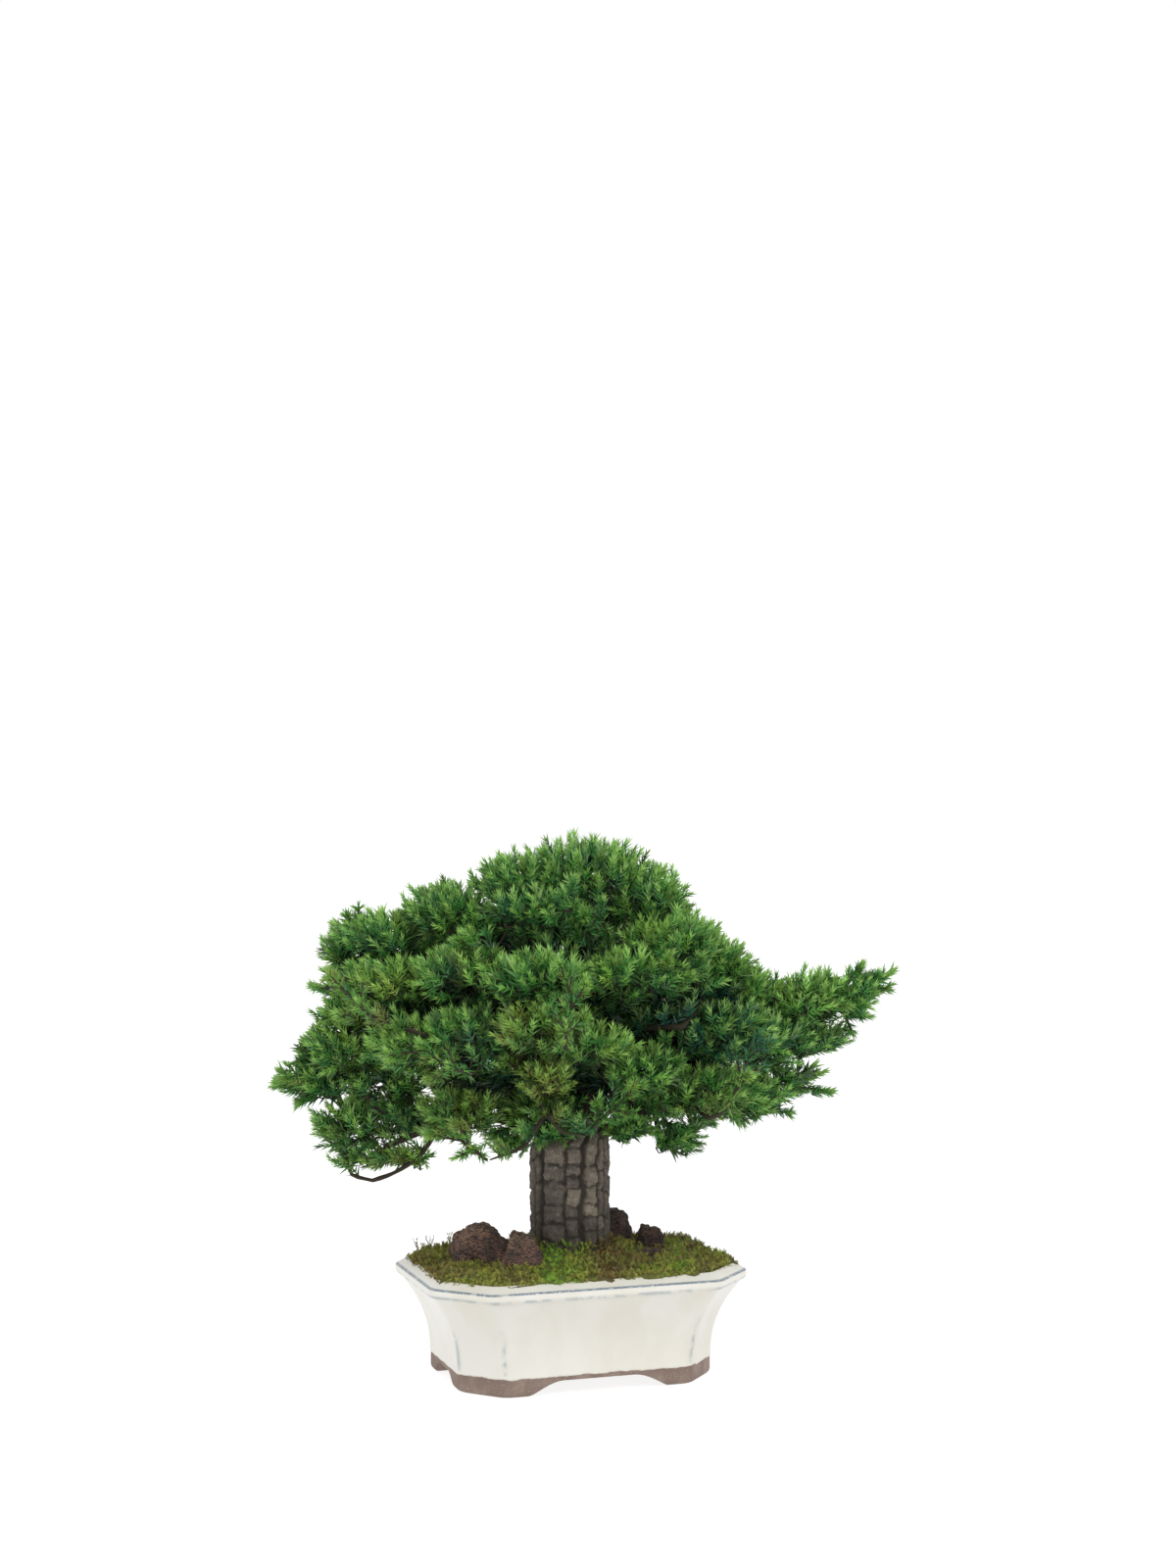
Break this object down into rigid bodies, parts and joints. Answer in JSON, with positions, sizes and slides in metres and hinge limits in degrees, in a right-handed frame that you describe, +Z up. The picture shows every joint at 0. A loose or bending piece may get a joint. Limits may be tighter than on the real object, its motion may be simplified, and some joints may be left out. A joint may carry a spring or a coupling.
{
  "type": "juniper bonsai in a glazed pot",
  "caption": "Juniper bonsai: thick barked trunk, radiating boughs and needled sprays over moss and lava stones, standing in a cream glazed cut-corner rectangular pot with corner feet.",
  "frame": {"origin": "centre of the pot's foot plane, under the trunk", "axes": "+Z up, +X along the pot's long side, +Y towards the back; the viewing front of the tree is turned 18.5 degrees about +Z from -Y"},
  "size_m": [0.3614, 0.2495, 0.3281],
  "materials": {
    "pot_glaze": "gloss cream glaze, unglazed clay feet",
    "screen_plastic": "matte black mesh",
    "soil": "loose dark earth",
    "moss": "soft fibrous green",
    "lava_stone": "rough porous dark brown",
    "bark": "rough plated grey-brown bark",
    "needles": "satin green needles"
  },
  "bodies": {
    "root": {"pot": "pot_glaze", "drain_screen_left": "screen_plastic", "drain_screen_right": "screen_plastic", "soil": "soil", "moss": "moss", "stone_left": "lava_stone", "stone_wedge": "lava_stone", "stone_right": "lava_stone", "stone_small": "lava_stone", "stone_low": "lava_stone", "wood": "bark", "spray_01": "needles", "spray_02": "needles", "spray_03": "needles", "spray_04": "needles", "spray_05": "needles", "spray_06": "needles", "spray_07": "needles", "spray_08": "needles", "spray_09": "needles", "spray_10": "needles", "spray_11": "needles", "spray_12": "needles", "spray_13": "needles", "spray_14": "needles", "spray_15": "needles", "spray_16": "needles", "spray_17": "needles", "spray_18": "needles", "spray_19": "needles", "spray_20": "needles", "spray_21": "needles", "spray_22": "needles", "spray_23": "needles", "spray_24": "needles", "spray_25": "needles", "spray_26": "needles", "spray_27": "needles", "spray_28": "needles", "spray_29": "needles", "spray_30": "needles", "spray_31": "needles", "spray_32": "needles", "spray_33": "needles", "spray_34": "needles", "spray_35": "needles", "spray_36": "needles", "spray_37": "needles", "spray_38": "needles", "spray_39": "needles", "spray_40": "needles", "spray_41": "needles", "spray_42": "needles", "spray_43": "needles", "spray_44": "needles", "spray_45": "needles", "spray_46": "needles", "spray_47": "needles"}
  },
  "joints": []
}
